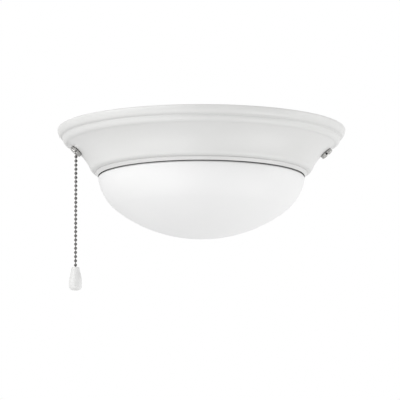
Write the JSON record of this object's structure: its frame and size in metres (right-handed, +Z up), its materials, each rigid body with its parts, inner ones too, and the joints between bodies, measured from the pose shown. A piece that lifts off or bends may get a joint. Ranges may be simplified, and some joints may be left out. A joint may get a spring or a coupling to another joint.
{
  "type": "ceiling fan light kit",
  "caption": "Low ceiling fan light kit: flared white steel pan with beaded rim, twist-lock opal glass bowl, and a ball pull chain with a white pull.",
  "frame": {"origin": "middle of the mounting plate's top face, which bolts up to the fan", "axes": "+Z up along the bowl's axis; the light's pull chain is on the -X side, the fan chain's guide on the +X side"},
  "size_m": [0.292, 0.292, 0.1662],
  "materials": {
    "white_enamel": "satin white enamel",
    "opal_glass": "opal, smooth",
    "zinc_steel": "zinc plated",
    "spring_steel": "bright",
    "polished_nickel": "polished nickel plate",
    "chain_nickel": "dark nickel plate",
    "pull_plastic": "semi-gloss white",
    "phenolic": "moulded, satin",
    "brass": "bright",
    "cap_metal": "bright",
    "bulb_housing": "satin white",
    "bulb_diffuser": "frosted",
    "bush_rubber": "matt",
    "connector_plastic": "ribbed",
    "black_insulation": "smooth",
    "white_insulation": "smooth"
  },
  "bodies": {
    "pan_assembly": {"fitter_pan": "white_enamel", "mounting_plate": "zinc_steel", "pan_screw_1": "zinc_steel", "pan_screw_2": "zinc_steel", "pan_screw_3": "zinc_steel", "floor_grommet": "bush_rubber", "glass_spring_1": "spring_steel", "glass_spring_2": "spring_steel", "glass_spring_3": "spring_steel", "spring_rivet_1": "zinc_steel", "spring_rivet_2": "zinc_steel", "spring_rivet_3": "zinc_steel", "socket_strap": "zinc_steel", "strap_screw_1": "zinc_steel", "strap_screw_2": "zinc_steel", "socket_body_1": "phenolic", "socket_body_2": "phenolic", "socket_thread_1": "brass", "socket_thread_2": "brass", "socket_contact_1": "brass", "socket_contact_2": "brass", "socket_screw_1": "zinc_steel", "socket_screw_2": "zinc_steel", "switch_body": "phenolic", "switch_cover": "phenolic", "switch_neck": "polished_nickel", "switch_lock_nut": "zinc_steel", "switch_ring_nut": "polished_nickel", "switch_spring": "zinc_steel", "chain_guide": "polished_nickel", "guide_lock_nut": "zinc_steel", "guide_ring_nut": "polished_nickel", "connector_hot": "connector_plastic", "connector_neutral": "connector_plastic", "connector_supply": "connector_plastic", "lead_hot_1": "black_insulation", "lead_hot_2": "black_insulation", "lead_neutral_1": "white_insulation", "lead_neutral_2": "white_insulation", "lead_switch_hot": "black_insulation", "lead_switch_supply": "black_insulation"},
    "bowl": {"glass_bowl": "opal_glass"},
    "bulb_1": {"bulb_1_cap": "cap_metal", "bulb_1_tip": "brass", "bulb_1_housing": "bulb_housing", "bulb_1_globe": "bulb_diffuser"},
    "bulb_2": {"bulb_2_cap": "cap_metal", "bulb_2_tip": "brass", "bulb_2_housing": "bulb_housing", "bulb_2_globe": "bulb_diffuser"},
    "plunger": {"switch_plunger": "polished_nickel"},
    "top_beads": {"chain_top": "chain_nickel"},
    "chain_1": {"chain_length_1": "chain_nickel"},
    "chain_2": {"chain_length_2": "chain_nickel"},
    "chain_3": {"chain_length_3": "chain_nickel"},
    "chain_4": {"chain_length_4": "chain_nickel"},
    "chain_5": {"chain_length_5": "chain_nickel"},
    "pull": {"pull_fob": "pull_plastic"}
  },
  "joints": [
    {"name": "glass_twist", "type": "hinge", "parent": "pan_assembly", "child": "bowl", "pos_m": [0, 0, -0.032], "axis": [0, 0, 1], "range_deg": [-45, 0]},
    {"name": "bulb_1_turn", "type": "hinge", "parent": "pan_assembly", "child": "bulb_1", "pos_m": [0, 0.03, -0.048], "axis": [1, 0, 0], "range_deg": [0, 90]},
    {"name": "bulb_2_turn", "type": "hinge", "parent": "pan_assembly", "child": "bulb_2", "pos_m": [0, -0.03, -0.048], "axis": [-1, 0, 0], "range_deg": [0, 90]},
    {"name": "chain_pull", "type": "slide", "parent": "pan_assembly", "child": "top_beads", "axis": [0, 0, -1], "range_m": [0, 0.00426], "stiffness_N_per_m": 1500, "springref_m": -0.001, "deforming": ["switch_spring"]},
    {"name": "plunger_slide", "type": "slide", "parent": "pan_assembly", "child": "plunger", "axis": [-0.6634, 0, -0.7482], "range_m": [0, 0.00426], "deforming": ["switch_spring"]},
    {"name": "chain_bend_1", "type": "hinge", "parent": "top_beads", "child": "chain_1", "pos_m": [-0.12723, 0, -0.02593], "axis": [0, 1, 0], "range_deg": [-12, 35]},
    {"name": "chain_bend_2", "type": "hinge", "parent": "chain_1", "child": "chain_2", "pos_m": [-0.12723, 0, -0.05149], "axis": [1, 0, 0], "range_deg": [-30, 30]},
    {"name": "chain_bend_3", "type": "hinge", "parent": "chain_2", "child": "chain_3", "pos_m": [-0.12723, 0, -0.07705], "axis": [0, 1, 0], "range_deg": [-9, 30]},
    {"name": "chain_bend_4", "type": "hinge", "parent": "chain_3", "child": "chain_4", "pos_m": [-0.12723, 0, -0.09835], "axis": [1, 0, 0], "range_deg": [-30, 30]},
    {"name": "chain_bend_5", "type": "hinge", "parent": "chain_4", "child": "chain_5", "pos_m": [-0.12723, 0, -0.11965], "axis": [0, 1, 0], "range_deg": [-9, 30]},
    {"name": "pull_spin", "type": "hinge", "parent": "chain_5", "child": "pull", "pos_m": [-0.12723, 0, -0.13669], "axis": [0, 0, 1], "continuous": true}
  ],
  "couplings": [
    {"joint": "plunger_slide", "follows": "chain_pull", "ratio": 1}
  ]
}
